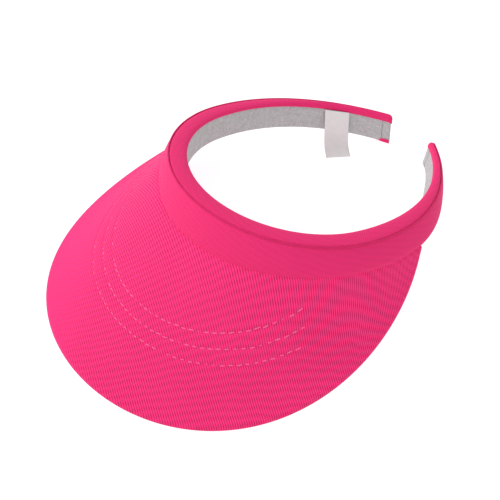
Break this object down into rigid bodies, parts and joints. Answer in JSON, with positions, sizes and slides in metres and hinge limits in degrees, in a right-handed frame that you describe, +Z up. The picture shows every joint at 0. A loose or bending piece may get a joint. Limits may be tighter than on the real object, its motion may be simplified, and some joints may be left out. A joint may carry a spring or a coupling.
{
  "type": "sun visor",
  "caption": "Open-back clip-on sun visor: wide curved stitched brim on a padded spring headband with a terry sweatband, flexing arms and a hanging care label.",
  "frame": {"origin": "centre of the bounding box's footprint, on the table that the visor rests on", "axes": "+Z up; -Y toward the wearer's face direction, where the brim points; +X toward the wearer's left"},
  "size_m": [0.2392, 0.3046, 0.0763],
  "materials": {
    "pink_twill": "matt cotton twill, hot pink",
    "stitch_thread": "light pink sewing thread",
    "terry": "light grey looped terry",
    "foam": "soft foam, hidden",
    "spring_plastic": "springy plastic strip, hidden",
    "board_plastic": "stiff plastic sheet, hidden",
    "label_satin": "white satin ribbon"
  },
  "bodies": {
    "visor": {"brim_board": "board_plastic", "brim_top_cover": "pink_twill", "brim_under_cover": "pink_twill", "brim_stitches_inner": "stitch_thread", "brim_stitches_middle": "stitch_thread", "brim_stitches_outer": "stitch_thread", "front_sweatband": "terry", "front_spring_core": "spring_plastic", "front_foam_pad": "foam", "front_outer_cover": "pink_twill", "front_top_binding": "pink_twill", "front_seam_piping": "pink_twill"},
    "left_arm": {"left_arm_sweatband": "terry", "left_arm_spring_core": "spring_plastic", "left_arm_foam_pad": "foam", "left_arm_outer_cover": "pink_twill", "left_arm_top_binding": "pink_twill", "left_arm_seam_piping": "pink_twill", "left_arm_tip_wrap": "terry"},
    "right_arm": {"right_arm_sweatband": "terry", "right_arm_spring_core": "spring_plastic", "right_arm_foam_pad": "foam", "right_arm_outer_cover": "pink_twill", "right_arm_top_binding": "pink_twill", "right_arm_seam_piping": "pink_twill", "right_arm_tip_wrap": "terry"},
    "care_label": {"care_label": "label_satin"}
  },
  "joints": [
    {"name": "left_arm_flex", "type": "hinge", "parent": "visor", "child": "left_arm", "pos_m": [0.08328, 0.07947, 0.03178], "axis": [0, -0.257, -0.9664], "range_deg": [0, 18], "stiffness_Nm_per_rad": 0.5},
    {"name": "right_arm_flex", "type": "hinge", "parent": "visor", "child": "right_arm", "pos_m": [-0.08328, 0.07947, 0.03178], "axis": [0, 0.257, 0.9664], "range_deg": [0, 18], "stiffness_Nm_per_rad": 0.5},
    {"name": "care_label_swing", "type": "hinge", "parent": "right_arm", "child": "care_label", "pos_m": [-0.04879, 0.11302, 0.02928], "axis": [-0.5548, -0.804, 0.2138], "range_deg": [0, 80]}
  ]
}
